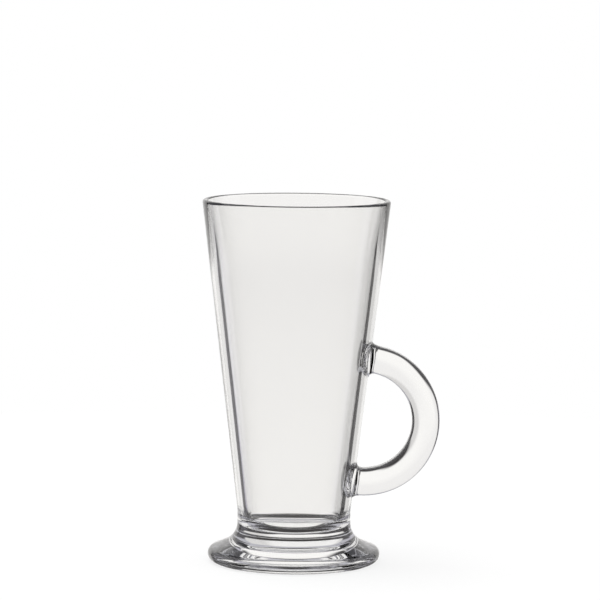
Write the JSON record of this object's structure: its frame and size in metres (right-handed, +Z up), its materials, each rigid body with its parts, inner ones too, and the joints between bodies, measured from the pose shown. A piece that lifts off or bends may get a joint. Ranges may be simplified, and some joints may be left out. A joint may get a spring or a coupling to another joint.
{
  "type": "glass mug",
  "caption": "Tall clear glass latte mug with a conical bowl, rounded rim, short neck, flared round foot and a square-sectioned half-ring handle fused to its side, for hot drinks.",
  "frame": {"origin": "middle of the mug's footprint, handle included, on the plane it stands on", "axes": "+Z up along the bowl's axis, +X towards the handle, +Y across the handle's thickness"},
  "size_m": [0.0956, 0.075, 0.1455],
  "materials": {
    "clear_glass": "clear, fire-polished"
  },
  "bodies": {
    "root": {"bowl": "clear_glass", "foot": "clear_glass", "handle": "clear_glass", "upper_handle_weld": "clear_glass", "lower_handle_weld": "clear_glass"}
  },
  "joints": []
}
